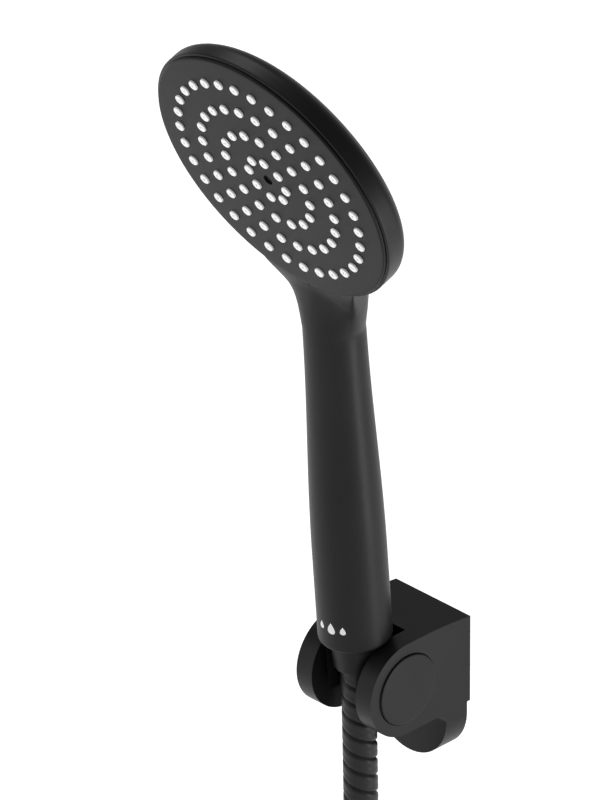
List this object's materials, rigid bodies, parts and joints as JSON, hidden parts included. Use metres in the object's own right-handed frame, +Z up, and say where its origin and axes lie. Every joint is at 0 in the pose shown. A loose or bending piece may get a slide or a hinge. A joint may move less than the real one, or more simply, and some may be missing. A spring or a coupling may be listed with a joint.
{
  "type": "handheld shower head",
  "caption": "Slim round handheld shower head in matte black with white silicone nozzles, in a tilting fork wall bracket, on a black spiral-wound hose that ends in a coil.",
  "frame": {"origin": "on the wall plane, on the centre plane, at the height of the cradle's pivot", "axes": "+Z up, -Y out of the wall into the room, +X to the right when facing the wall"},
  "size_m": [0.1976, 0.2473, 0.5355],
  "materials": {
    "matte_black": "fine matte black coating",
    "face_black": "matte black moulding, slightly lighter",
    "silicone_white": "soft white silicone",
    "hose_black": "satin black spiral-wound hose",
    "inner_plastic": "plain grey moulding",
    "rubber_black": "dull rubber",
    "steel": "satin steel",
    "brass": "machined brass"
  },
  "bodies": {
    "bracket": {"bracket_body": "matte_black", "wall_plate": "inner_plastic", "grub_screw": "steel", "pivot_cap_left": "matte_black", "pivot_cap_right": "matte_black", "hose_tube": "hose_black", "hose_coil": "hose_black", "hose_tail": "hose_black", "coil_tie": "rubber_black", "end_ferrule": "brass", "end_washer": "rubber_black"},
    "cradle": {"cradle": "matte_black", "pivot_washer_left": "rubber_black", "pivot_washer_right": "rubber_black", "pivot_screw_left": "steel", "pivot_screw_right": "steel"},
    "hose_end": {"hose_ferrule": "brass"},
    "handset": {"body_shell": "matte_black", "spray_plate": "face_black", "nozzle_mat": "silicone_white", "distributor_plate": "inner_plastic", "head_seal": "rubber_black", "face_screw": "steel", "water_tube": "inner_plastic", "tube_ring_upper": "rubber_black", "tube_ring_lower": "rubber_black", "inlet_stub": "brass", "flow_regulator": "inner_plastic", "filter_washer": "rubber_black", "hose_nut": "matte_black"},
    "wall_end": {"end_nut": "matte_black"}
  },
  "joints": [
    {"name": "cradle_tilt", "type": "hinge", "parent": "bracket", "child": "cradle", "pos_m": [0, -0.03535, 0], "axis": [1, 0, 0], "range_deg": [-4.5, 20], "deforming": ["hose_tube"]},
    {"name": "handset_lift", "type": "slide", "parent": "cradle", "child": "hose_end", "axis": [0, -0.0826, 0.9966], "range_m": [0, 0.012], "deforming": ["hose_tube"]},
    {"name": "handset_turn", "type": "hinge", "parent": "hose_end", "child": "handset", "pos_m": [0, -0.04355, 0.02019], "axis": [0, -0.0826, 0.9966], "continuous": true},
    {"name": "end_nut_spin", "type": "hinge", "parent": "bracket", "child": "wall_end", "pos_m": [-0.073, -0.1526, -0.202], "axis": [-0.0814, 0.9967, 0], "continuous": true}
  ]
}
